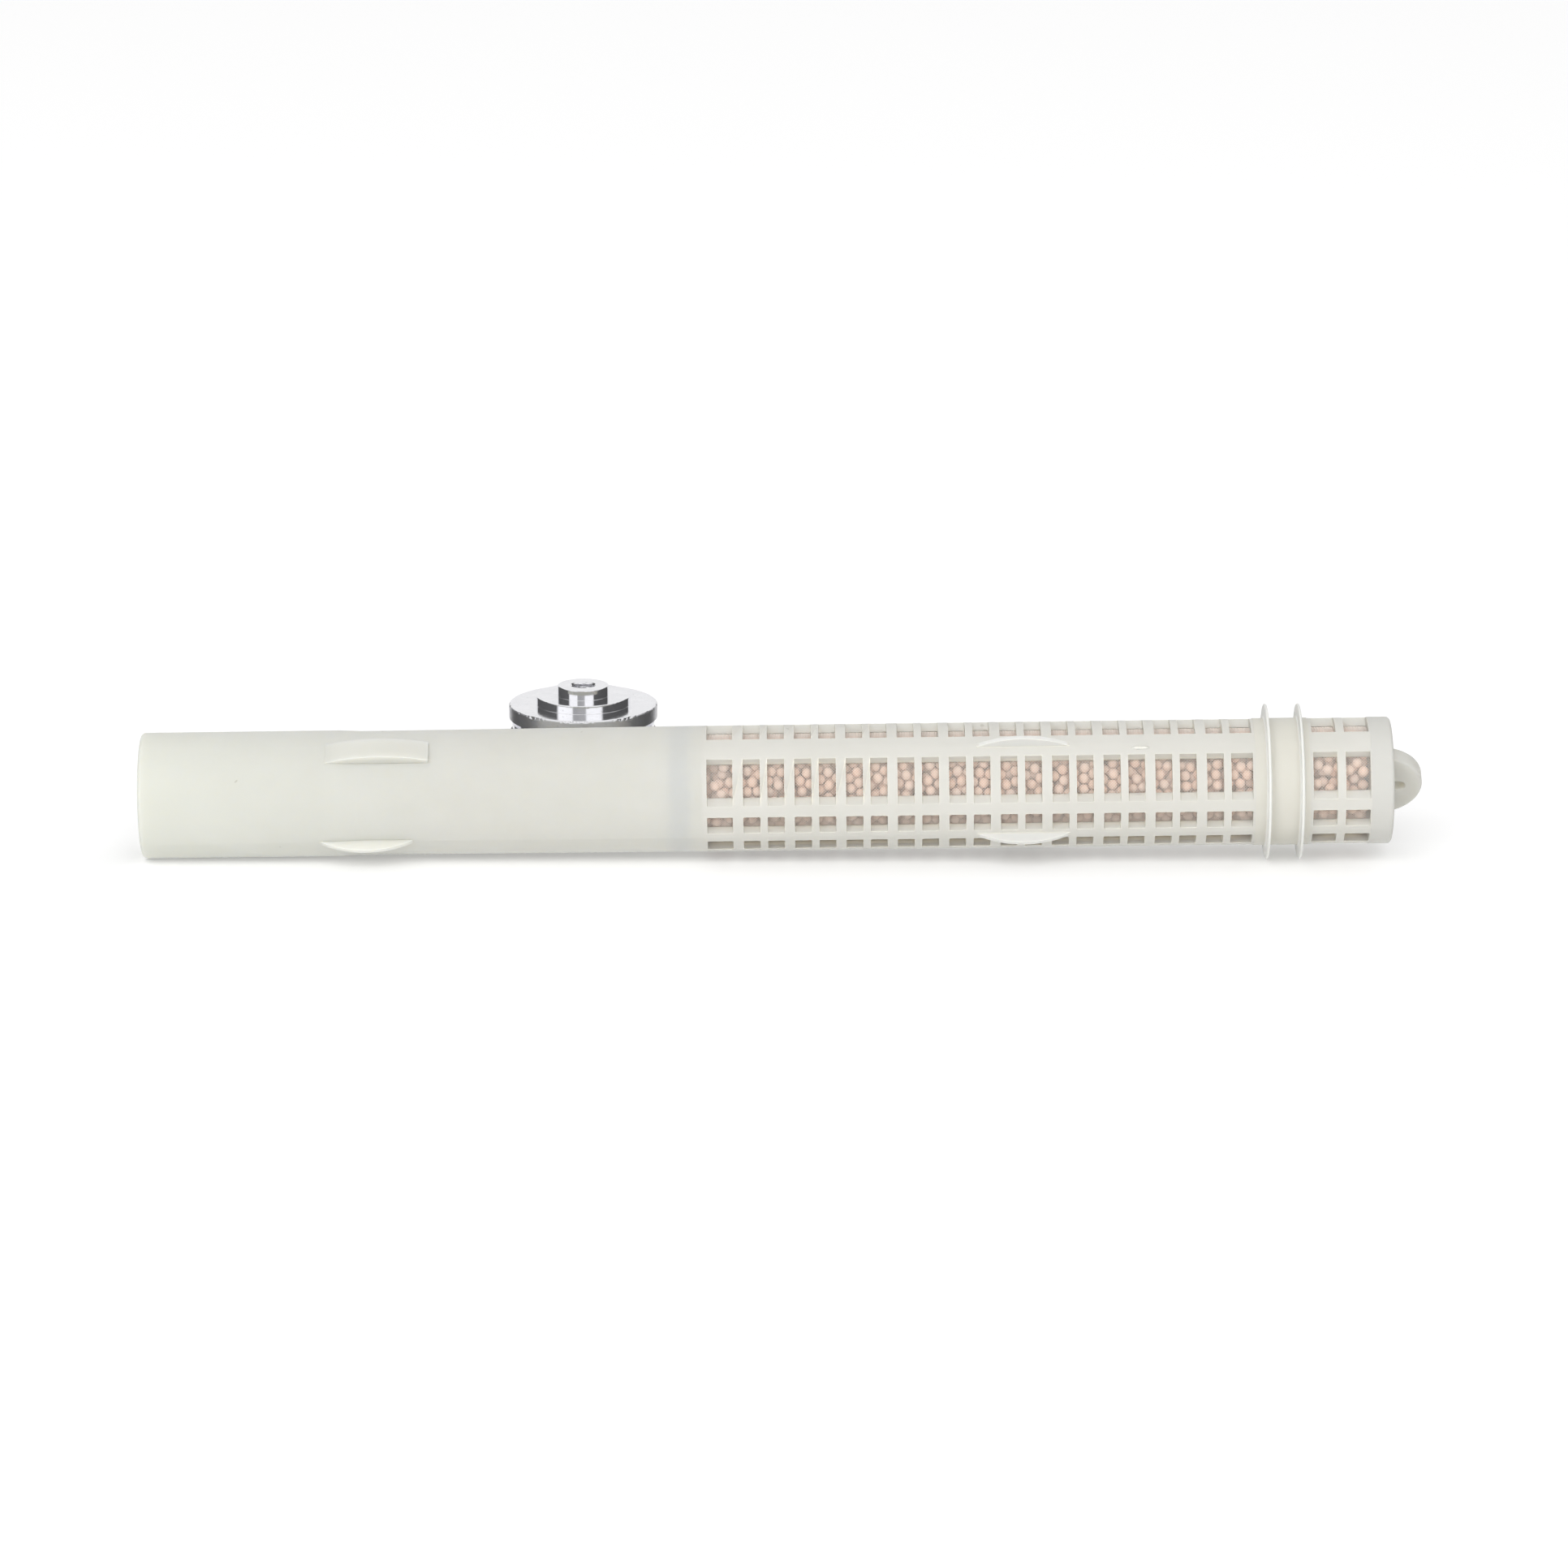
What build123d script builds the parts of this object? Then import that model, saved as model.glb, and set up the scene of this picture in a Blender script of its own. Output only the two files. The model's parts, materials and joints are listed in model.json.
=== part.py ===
from build123d import *
import os
from math import atan, cos, degrees, radians, sin, sqrt

# Receiver-drier cartridge lying on a flat surface, with its aluminium end plug standing behind it.
# All sizes are in millimetres. The row frame has +X along the cartridge towards the pull lug, +Y
# from the cartridge to the plug, +Z up, and its origin at the bottom centre of the whole set.
# Places along the cartridge are distances from its open end.

# Cartridge body.
TUBE_R = 11.5
WAIST_R = 11.32
BORE_R = 9.9
MOUTH_ROUND = 0.8
MOUTH_BREAK = 0.4
COLLAR_END = 36.2
WAIST_START = 40.0
CAGE_START = 102.4
CAGE_END = 223.9
END = 228.0
SPIGOT_R = 10.7
SOCKET_GAP = 0.02

# Windows of the cage. Two moulding halves pull apart along the pull direction, so every window wall
# is parallel to it. Offsets are measured sideways from the pull direction, heights along it.
PULL_ANGLE = 36.0
FIRST_WINDOW = (103.3, 108.0)
PAIR_START = 109.88
PAIR_PITCH = 9.35
PAIR_COUNT = 10
WINDOW_WIDTH = 3.09
RING_IN_PAIR = 1.34
LAST_WINDOW_END = 202.4
END_WINDOWS = ((213.3, 217.7), (219.2, 223.7))
NARROW_OFFSETS = (1.15, 4.6)
NARROW_FLOOR = 8.2
WIDE_OFFSETS = (6.5, 12.5)
WIDE_FLOOR = 2.3
WINDOW_CORNER = 0.22
CUT_TOP = 13.0

# Centring wings and pad.
WING_R = 13.65
WING_THICKNESS = 0.75
WING_HALF_CHORD = 8.5
WING_ROOT_R = 10.6
TUBE_WING_AT = 41.2
CAGE_WING_AT = 160.8
PAD_SPAN = (34.0, 52.8)
PAD_PEAK = (44.0, 13.1)
PAD_END_R = (11.45, 11.85)
PAD_HALF_WIDTH = 2.13

# Seal ring with two fins.
SEAL_SPAN = (202.9, 212.8)
SEAL_R = 11.6
SEAL_SEAT_R = 10.6
FIN_R = 14.2
FIN_THICKNESS = 0.5
FIN_ROOT = 0.35
FIN_PLACES = (205.3, 211.3)

# End cap and pull lug.
CAP_R = 11.57
CAP_CORNER = 0.7
CAP_FLOOR = 224.7
CAP_FACE = 226.3
CAP_RECESS_R = 9.4
LUG_R = 8.0
LUG_CENTRE = 225.8
LUG_ROOT = 225.5
LUG_THICKNESS = 2.9
LUG_ROUND = 0.45
LUG_SLOT_HALF = 1.3
LUG_SLOT_END = 230.8
LUG_SLOT_LENGTH = 7.5

# Net, beads, plate and felt pads inside the cage.
NET_R = (9.6, 9.85)
NET_SPAN = (98.6, 224.6)
CHARGE_R = 9.55
CHARGE_SPAN = (100.4, 223.7)
PLATE_SPAN = (96.6, 98.4)
PLATE_HOLE_R = 0.75
PLATE_RING_PITCH = 2.6
PLATE_RINGS = 3
PLATE_HOLES_PER_RING = 6

# End plug, heights above the surface it stands on.
PLUG_X_FROM_END = 79.6
PLUG_BEHIND = 37.0
FLANGE_R = 13.9
FLANGE_BOTTOM = 16.65
FLANGE_TOP = 19.4
STEP_R = 8.85
STEP_TOP = 21.0
BOSS_R = 4.8
BOSS_TOP = 22.9
BOSS_BREAK = 0.12
RELIEF_R = 12.1
RELIEF_BOTTOM = 15.9
LAND_R = 13.35
GROOVE_R = 11.65
GROOVE_WIDTH = 2.8
UPPER_GROOVE_TOP = 15.0
LOWER_GROOVE_TOP = 10.6
SHANK_BOTTOM = 6.0
NOSE_R = 9.7
EDGE_BREAK = 0.2
LEAD_IN = 0.6
TAP_R = 2.1
TAP_DEPTH = 9.0
TAP_MOUTH_R = 2.45
RING_SECTION_R = 1.1
RING_STRETCH = 0.02

# The cartridge rests on the round of its mouth and on its first fin, so it leans by this angle.
LEAN = degrees(atan((FIN_R - TUBE_R) / (FIN_PLACES[0] - MOUTH_ROUND)))
LUG_TIP = LUG_CENTRE + LUG_R
FRONT = -FIN_R
BACK = PLUG_BEHIND + FLANGE_R
MID_X = (LUG_TIP * cos(radians(LEAN)) - (TUBE_R - MOUTH_ROUND) * sin(radians(LEAN))) / 2
MID_Y = (FRONT + BACK) / 2
MOUTH_HEIGHT = TUBE_R * cos(radians(LEAN)) - MOUTH_ROUND * sin(radians(LEAN))

# The cartridge's axis, from its open end to the pull lug. Angles round it start at the pull
# direction of the front half of the mould, which points forwards and down.
AXIS_DIRECTION = Vector(cos(radians(LEAN)), 0, sin(radians(LEAN)))
MOUTH_CENTRE = Vector(-MID_X, -MID_Y, MOUTH_HEIGHT)
CARTRIDGE_AXIS = Axis(MOUTH_CENTRE, AXIS_DIRECTION)
PLUG_CENTRE = Vector(PLUG_X_FROM_END - MID_X, PLUG_BEHIND - MID_Y, 0)
PLUG_AXIS = Axis(PLUG_CENTRE, Vector(0, 0, 1))
PLUG_SECTION = Plane(origin=PLUG_CENTRE, x_dir=Vector(1, 0, 0), z_dir=Vector(0, -1, 0))


def outward(angle):
    """Direction square to the cartridge axis at that angle from the pull direction."""
    return Vector(0, -1, 0).rotate(Axis((0, 0, 0), AXIS_DIRECTION), PULL_ANGLE + angle)


def radial_plane(angle):
    """Plane through the cartridge axis: local X points outwards at that angle, local Y along the tube."""
    return Plane(
        origin=MOUTH_CENTRE, x_dir=outward(angle), z_dir=outward(angle).cross(AXIS_DIRECTION)
    )


def pull_plane(angle):
    """Plane square to the outward direction at that angle: local X along the tube, local Z outwards."""
    return Plane(origin=MOUTH_CENTRE, x_dir=AXIS_DIRECTION, z_dir=outward(angle))


def cross_plane(place):
    """Plane square to the cartridge axis at that distance from its open end."""
    centre = MOUTH_CENTRE + AXIS_DIRECTION * place
    return Plane(origin=centre, x_dir=outward(0), z_dir=AXIS_DIRECTION)


def window_columns():
    """Start and end of every column of windows, from the open end to the cap."""
    columns = [FIRST_WINDOW]
    for pair in range(PAIR_COUNT):
        start = PAIR_START + pair * PAIR_PITCH
        second = start + WINDOW_WIDTH + RING_IN_PAIR
        columns.append((start, start + WINDOW_WIDTH))
        columns.append((second, second + WINDOW_WIDTH))
    columns[-1] = (columns[-1][0], LAST_WINDOW_END)
    return columns + list(END_WINDOWS)


def window_row(offsets):
    """Sketch one row of windows between two sideways offsets."""
    for start, end in window_columns():
        with Locations(((start + end) / 2, (offsets[0] + offsets[1]) / 2)):
            RectangleRounded(end - start, abs(offsets[1] - offsets[0]), WINDOW_CORNER)


def wing_outline(centre):
    """Sketch a wing: an arc that rises from the tube wall and falls back into it."""
    with BuildLine() as outline:
        ThreePointArc(
            (TUBE_R, centre - WING_HALF_CHORD),
            (WING_R, centre),
            (TUBE_R, centre + WING_HALF_CHORD),
        )
        Polyline(
            (TUBE_R, centre - WING_HALF_CHORD),
            (WING_ROOT_R, centre - WING_HALF_CHORD),
            (WING_ROOT_R, centre + WING_HALF_CHORD),
            (TUBE_R, centre + WING_HALF_CHORD),
        )
    make_face(outline.edges())


def ring_profile(inner, outer, start, end):
    """Sketch a rectangle in a radial plane, to be revolved into a ring or a disc."""
    with Locations((inner, start)):
        Rectangle(outer - inner, end - start, align=(Align.MIN, Align.MIN))


RADIAL = radial_plane(0)

# Plain tube with its collar, three wings and the broad pad on the parting line.
with BuildPart() as spacer_tube:
    with BuildSketch(RADIAL):
        with BuildLine():
            Polyline(
                (BORE_R, MOUTH_BREAK),
                (BORE_R + MOUTH_BREAK, 0),
                (TUBE_R - MOUTH_ROUND, 0),
            )
            RadiusArc((TUBE_R - MOUTH_ROUND, 0), (TUBE_R, MOUTH_ROUND), -MOUTH_ROUND)
            Polyline(
                (TUBE_R, MOUTH_ROUND),
                (TUBE_R, COLLAR_END),
                (WAIST_R, WAIST_START),
                (TUBE_R, CAGE_START),
                (SPIGOT_R + SOCKET_GAP, CAGE_START),
                (SPIGOT_R + SOCKET_GAP, PLATE_SPAN[0]),
                (BORE_R, PLATE_SPAN[0]),
                (BORE_R, MOUTH_BREAK),
            )
        make_face()
    revolve(axis=CARTRIDGE_AXIS)
    for wing_angle in (0, 90, 180):
        with BuildSketch(radial_plane(wing_angle)):
            wing_outline(TUBE_WING_AT)
        extrude(amount=WING_THICKNESS / 2, both=True)
    with BuildSketch(radial_plane(-90)):
        with BuildLine():
            ThreePointArc(
                (PAD_END_R[0], PAD_SPAN[0]), (PAD_PEAK[1], PAD_PEAK[0]), (PAD_END_R[1], PAD_SPAN[1])
            )
            Polyline(
                (PAD_END_R[1], PAD_SPAN[1]),
                (WING_ROOT_R, PAD_SPAN[1]),
                (WING_ROOT_R, PAD_SPAN[0]),
                (PAD_END_R[0], PAD_SPAN[0]),
            )
        make_face()
    extrude(amount=PAD_HALF_WIDTH, both=True)
spacer_tube.part.label = "spacer_tube"

# Lattice cage: a tube with a spigot at each end, a seat for the seal ring, and its windows.
with BuildPart() as window_cage:
    with BuildSketch(RADIAL):
        with BuildLine():
            Polyline(
                (BORE_R, PLATE_SPAN[1]),
                (SPIGOT_R, PLATE_SPAN[1]),
                (SPIGOT_R, CAGE_START),
                (TUBE_R, CAGE_START),
                (TUBE_R, SEAL_SPAN[0]),
                (SEAL_SEAT_R, SEAL_SPAN[0]),
                (SEAL_SEAT_R, SEAL_SPAN[1]),
                (TUBE_R, SEAL_SPAN[1]),
                (TUBE_R, CAGE_END),
                (SPIGOT_R, CAGE_END),
                (SPIGOT_R, CAP_FACE - SOCKET_GAP),
                (BORE_R, CAP_FACE - SOCKET_GAP),
                (BORE_R, PLATE_SPAN[1]),
            )
        make_face()
    revolve(axis=CARTRIDGE_AXIS)
    for half in (0, 180):
        for floor, (near, far) in ((NARROW_FLOOR, NARROW_OFFSETS), (WIDE_FLOOR, WIDE_OFFSETS)):
            for side in (1, -1):
                with BuildSketch(pull_plane(half).offset(floor)):
                    window_row((side * near, side * far))
                extrude(amount=CUT_TOP - floor, mode=Mode.SUBTRACT)
    for wing_angle in (0, 90, 180, 270):
        with BuildSketch(radial_plane(wing_angle)):
            wing_outline(CAGE_WING_AT)
        extrude(amount=WING_THICKNESS / 2, both=True)
window_cage.part.label = "window_cage"

# Seal ring: a plain band in its seat with two thin fins that wipe the bore of the receiver.
with BuildPart() as fin_seal_ring:
    with BuildSketch(RADIAL):
        ring_profile(SEAL_SEAT_R, SEAL_R, *SEAL_SPAN)
    revolve(axis=CARTRIDGE_AXIS)
    for fin_place in FIN_PLACES:
        with BuildSketch(RADIAL):
            with BuildLine():
                Polyline(
                    (SEAL_R - FIN_ROOT, fin_place - FIN_THICKNESS / 2 - FIN_ROOT),
                    (SEAL_R, fin_place - FIN_THICKNESS / 2 - FIN_ROOT),
                    (SEAL_R + FIN_ROOT, fin_place - FIN_THICKNESS / 2),
                    (FIN_R - FIN_THICKNESS / 2, fin_place - FIN_THICKNESS / 2),
                )
                ThreePointArc(
                    (FIN_R - FIN_THICKNESS / 2, fin_place - FIN_THICKNESS / 2),
                    (FIN_R, fin_place),
                    (FIN_R - FIN_THICKNESS / 2, fin_place + FIN_THICKNESS / 2),
                )
                Polyline(
                    (FIN_R - FIN_THICKNESS / 2, fin_place + FIN_THICKNESS / 2),
                    (SEAL_R + FIN_ROOT, fin_place + FIN_THICKNESS / 2),
                    (SEAL_R, fin_place + FIN_THICKNESS / 2 + FIN_ROOT),
                    (SEAL_R - FIN_ROOT, fin_place + FIN_THICKNESS / 2 + FIN_ROOT),
                    (SEAL_R - FIN_ROOT, fin_place - FIN_THICKNESS / 2 - FIN_ROOT),
                )
            make_face()
        revolve(axis=CARTRIDGE_AXIS)
fin_seal_ring.part.label = "fin_seal_ring"

# Pull lug: a rounded plate on the parting plane, with a slot for a hook, rooted in the cap's floor.
with BuildPart() as pull_lug:
    with BuildSketch(pull_plane(0)):
        with Locations((LUG_CENTRE, 0)):
            Circle(LUG_R)
    extrude(amount=LUG_THICKNESS / 2, both=True)
    fillet(pull_lug.edges().filter_by(GeomType.CIRCLE), LUG_ROUND)
    with BuildSketch(pull_plane(0)):
        with Locations((LUG_ROOT, 0)):
            Rectangle(2 * LUG_R, 2 * LUG_R, align=(Align.MAX, Align.CENTER))
    extrude(amount=LUG_THICKNESS, both=True, mode=Mode.SUBTRACT)
    with BuildSketch(pull_plane(0)):
        with Locations((LUG_SLOT_END - LUG_SLOT_LENGTH / 2, 0)):
            SlotOverall(LUG_SLOT_LENGTH, 2 * LUG_SLOT_HALF)
    extrude(amount=LUG_THICKNESS, both=True, mode=Mode.SUBTRACT)

# End cap: a skirt over the cage's spigot, a floor inside it, and the pull lug on that floor.
with BuildPart() as end_cap:
    with BuildSketch(RADIAL):
        with BuildLine():
            Polyline(
                (0, CAP_FLOOR),
                (BORE_R - SOCKET_GAP, CAP_FLOOR),
                (BORE_R - SOCKET_GAP, CAP_FACE),
                (SPIGOT_R + SOCKET_GAP, CAP_FACE),
                (SPIGOT_R + SOCKET_GAP, CAGE_END),
                (CAP_R, CAGE_END),
                (CAP_R, END - CAP_CORNER),
            )
            RadiusArc((CAP_R, END - CAP_CORNER), (CAP_R - CAP_CORNER, END), -CAP_CORNER)
            Polyline(
                (CAP_R - CAP_CORNER, END),
                (CAP_RECESS_R, END),
                (CAP_RECESS_R, CAP_FACE),
                (0, CAP_FACE),
                (0, CAP_FLOOR),
            )
        make_face()
    revolve(axis=CARTRIDGE_AXIS)
    add(pull_lug.part)
end_cap.part.label = "end_cap"

# Net sleeve: the outer envelope of the woven net, as a thin tube.
with BuildPart() as net_sleeve:
    with BuildSketch(RADIAL):
        ring_profile(*NET_R, *NET_SPAN)
    revolve(axis=CARTRIDGE_AXIS)
net_sleeve.part.label = "net_sleeve"

# Desiccant charge: the envelope of the packed beads.
with BuildPart() as desiccant_beads:
    with BuildSketch(RADIAL):
        ring_profile(0, CHARGE_R, *CHARGE_SPAN)
    revolve(axis=CARTRIDGE_AXIS)
desiccant_beads.part.label = "desiccant_beads"

# Perforated plate: holes on rings round a centre hole, clamped between the tube and the cage.
with BuildPart() as perforated_plate:
    with BuildSketch(cross_plane(PLATE_SPAN[0])):
        Circle(SPIGOT_R)
        Circle(PLATE_HOLE_R, mode=Mode.SUBTRACT)
        for ring in range(1, PLATE_RINGS + 1):
            with PolarLocations(ring * PLATE_RING_PITCH, ring * PLATE_HOLES_PER_RING):
                Circle(PLATE_HOLE_R, mode=Mode.SUBTRACT)
    extrude(amount=PLATE_SPAN[1] - PLATE_SPAN[0])
perforated_plate.part.label = "perforated_plate"

# Felt pads at both ends of the charge.
with BuildPart() as inner_felt_pad:
    with BuildSketch(cross_plane(PLATE_SPAN[1])):
        Circle(CHARGE_R)
    extrude(amount=CHARGE_SPAN[0] - PLATE_SPAN[1])
inner_felt_pad.part.label = "inner_felt_pad"

with BuildPart() as outer_felt_pad:
    with BuildSketch(cross_plane(CHARGE_SPAN[1])):
        Circle(CHARGE_R)
    extrude(amount=CAP_FLOOR - CHARGE_SPAN[1])
outer_felt_pad.part.label = "outer_felt_pad"

# End plug: nose, two seal grooves, flange, two steps and a tapped hole that it is pulled out by.
TAP_BOTTOM = BOSS_TOP - TAP_DEPTH
TAP_POINT = TAP_BOTTOM - TAP_R / sqrt(3)
with BuildPart() as plug_body:
    with BuildSketch(PLUG_SECTION):
        with BuildLine():
            Polyline(
                (0, 0),
                (NOSE_R - LEAD_IN, 0),
                (NOSE_R, LEAD_IN),
                (NOSE_R, SHANK_BOTTOM),
                (LAND_R - LEAD_IN, SHANK_BOTTOM),
                (LAND_R, SHANK_BOTTOM + LEAD_IN),
                (LAND_R, LOWER_GROOVE_TOP - GROOVE_WIDTH),
                (GROOVE_R, LOWER_GROOVE_TOP - GROOVE_WIDTH),
                (GROOVE_R, LOWER_GROOVE_TOP),
                (LAND_R, LOWER_GROOVE_TOP),
                (LAND_R, UPPER_GROOVE_TOP - GROOVE_WIDTH),
                (GROOVE_R, UPPER_GROOVE_TOP - GROOVE_WIDTH),
                (GROOVE_R, UPPER_GROOVE_TOP),
                (LAND_R, UPPER_GROOVE_TOP),
                (LAND_R, RELIEF_BOTTOM),
                (RELIEF_R, RELIEF_BOTTOM),
                (RELIEF_R, FLANGE_BOTTOM),
                (FLANGE_R - EDGE_BREAK, FLANGE_BOTTOM),
                (FLANGE_R, FLANGE_BOTTOM + EDGE_BREAK),
                (FLANGE_R, FLANGE_TOP - EDGE_BREAK),
                (FLANGE_R - EDGE_BREAK, FLANGE_TOP),
                (STEP_R, FLANGE_TOP),
                (STEP_R, STEP_TOP - BOSS_BREAK),
                (STEP_R - BOSS_BREAK, STEP_TOP),
                (BOSS_R, STEP_TOP),
                (BOSS_R, BOSS_TOP - BOSS_BREAK),
                (BOSS_R - BOSS_BREAK, BOSS_TOP),
                (TAP_MOUTH_R, BOSS_TOP),
                (TAP_R, BOSS_TOP - (TAP_MOUTH_R - TAP_R)),
                (TAP_R, TAP_BOTTOM),
                (0, TAP_POINT),
                (0, 0),
            )
        make_face()
    revolve(axis=PLUG_AXIS)
plug_body.part.label = "plug_body"


def seal_ring(groove_top):
    """An O-ring that sits in the groove below that height."""
    with BuildPart() as ring:
        with BuildSketch(PLUG_SECTION):
            with Locations((GROOVE_R + RING_SECTION_R + RING_STRETCH, groove_top - GROOVE_WIDTH / 2)):
                Circle(RING_SECTION_R)
        revolve(axis=PLUG_AXIS)
    return ring


upper_o_ring = seal_ring(UPPER_GROOVE_TOP)
upper_o_ring.part.label = "upper_o_ring"
lower_o_ring = seal_ring(LOWER_GROOVE_TOP)
lower_o_ring.part.label = "lower_o_ring"

PIECES = (
    spacer_tube,
    window_cage,
    fin_seal_ring,
    end_cap,
    net_sleeve,
    desiccant_beads,
    perforated_plate,
    inner_felt_pad,
    outer_felt_pad,
    plug_body,
    upper_o_ring,
    lower_o_ring,
)
os.makedirs("parts", exist_ok=True)
for piece in PIECES:
    export_step(piece.part, f"parts/{piece.part.label}.step")
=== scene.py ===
import json
import math

import bmesh
import bpy
import numpy as np
from mathutils import Matrix, Vector


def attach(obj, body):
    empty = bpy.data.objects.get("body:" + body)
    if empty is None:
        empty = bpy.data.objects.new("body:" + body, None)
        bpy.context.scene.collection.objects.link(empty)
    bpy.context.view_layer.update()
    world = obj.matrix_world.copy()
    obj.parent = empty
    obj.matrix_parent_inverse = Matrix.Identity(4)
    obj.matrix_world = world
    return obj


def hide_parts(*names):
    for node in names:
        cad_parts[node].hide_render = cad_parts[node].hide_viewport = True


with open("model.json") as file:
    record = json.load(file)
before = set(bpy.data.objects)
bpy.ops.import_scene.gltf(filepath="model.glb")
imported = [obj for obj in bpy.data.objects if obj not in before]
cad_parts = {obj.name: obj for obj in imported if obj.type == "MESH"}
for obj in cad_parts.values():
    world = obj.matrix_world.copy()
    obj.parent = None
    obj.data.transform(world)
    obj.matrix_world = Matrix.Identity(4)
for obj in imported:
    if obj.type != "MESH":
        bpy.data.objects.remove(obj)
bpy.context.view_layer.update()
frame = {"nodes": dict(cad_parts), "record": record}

MM = 0.001
CARTRIDGE = "cartridge"
PLUG = "plug"
SEED = 20

# ---------------------------------------------------------------- frame of the cartridge
# The halves of the mould part along this direction, in degrees about the axis from straight ahead.
PULL_ANGLE = 36.0
MOUTH_MOUNT_AT = 48.0 * MM
MOUNTS = {mount["name"]: mount for mount in frame["record"]["mounts"]}
AXIS = -Vector(MOUNTS["tube_mouth"]["axis"]).normalized()
MOUTH = Vector(MOUNTS["tube_mouth"]["pos_m"]) - AXIS * MOUTH_MOUNT_AT
PLUG_FOOT = Vector(MOUNTS["plug_foot"]["pos_m"])

# ---------------------------------------------------------------- sizes of the pieces
BEAD_R = 1.0 * MM
BEAD_SIZES = (0.95, 1.01)
BEAD_ROUNDNESS = (0.975, 1.0)
CHARGE_R = 9.6 * MM
CHARGE_SPAN = (100.5 * MM, 223.6 * MM)
BEAD_COVER = 0.79
# Subdivisions of the beads in each layer, from the net inwards.
BEAD_LAYERS = (2, 2, 1, 1, 1)
LAYER_DEPTH = 1.7 * MM
SETTLING_STEPS = 220
SETTLING_PACE = 0.9
TOO_CLOSE = 1e-9
# A few beads sink this far from the net, and most hardly at all.
SINKING = 0.45 * MM
SINKING_POWER = 5
NET_R = 9.78 * MM
NET_THREADS = 120
THREAD_R = 0.046 * MM
THREAD_SIDES = 4
THREAD_WAVE = 0.045 * MM
NET_STRETCHES = {
    "front": (102.6 * MM, 155.7 * MM),
    "middle": (155.7 * MM, 203.0 * MM),
    "end": (212.6 * MM, 224.4 * MM),
}
FELT_PADS = {"inner_felt_pad": (98.45 * MM, 100.35 * MM), "outer_felt_pad": (223.75 * MM, 224.65 * MM)}


def outward(angle):
    """Direction square to the cartridge axis at that many degrees from the pull direction."""
    turn = Matrix.Rotation(math.radians(PULL_ANGLE + angle), 3, AXIS)
    return turn @ Vector((0, -1, 0))


CARTRIDGE_FRAME = Matrix.Translation(MOUTH) @ Matrix((outward(0), outward(90), AXIS)).transposed().to_4x4()
PLUG_FRAME = Matrix.Translation(PLUG_FOOT)


def build_piece(name, body, slot, material, matrix, vertices, *face_groups):
    """A smooth piece from arrays made in its own frame: it rides on its body, with its finish set.

    Each face group is an array with one row of corners per face.
    """
    turn = np.array(matrix.to_3x3())
    placed = np.asarray(vertices, float) @ turn.T + np.array(matrix.translation)
    mesh = bpy.data.meshes.new(name)
    mesh.vertices.add(len(placed))
    mesh.vertices.foreach_set("co", placed.astype(np.float32).ravel())
    corners = np.concatenate([group.ravel() for group in face_groups])
    sizes = np.concatenate([np.full(len(group), group.shape[1]) for group in face_groups])
    mesh.loops.add(len(corners))
    mesh.loops.foreach_set("vertex_index", corners.astype(np.int32))
    mesh.polygons.add(len(sizes))
    mesh.polygons.foreach_set("loop_start", (np.cumsum(sizes) - sizes).astype(np.int32))
    mesh.update(calc_edges=True)
    mesh.validate()
    mesh.shade_smooth()
    mesh.materials.append(material)
    piece = bpy.data.objects.new(name, mesh)
    bpy.context.scene.collection.objects.link(piece)
    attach(piece, body)
    return piece


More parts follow.
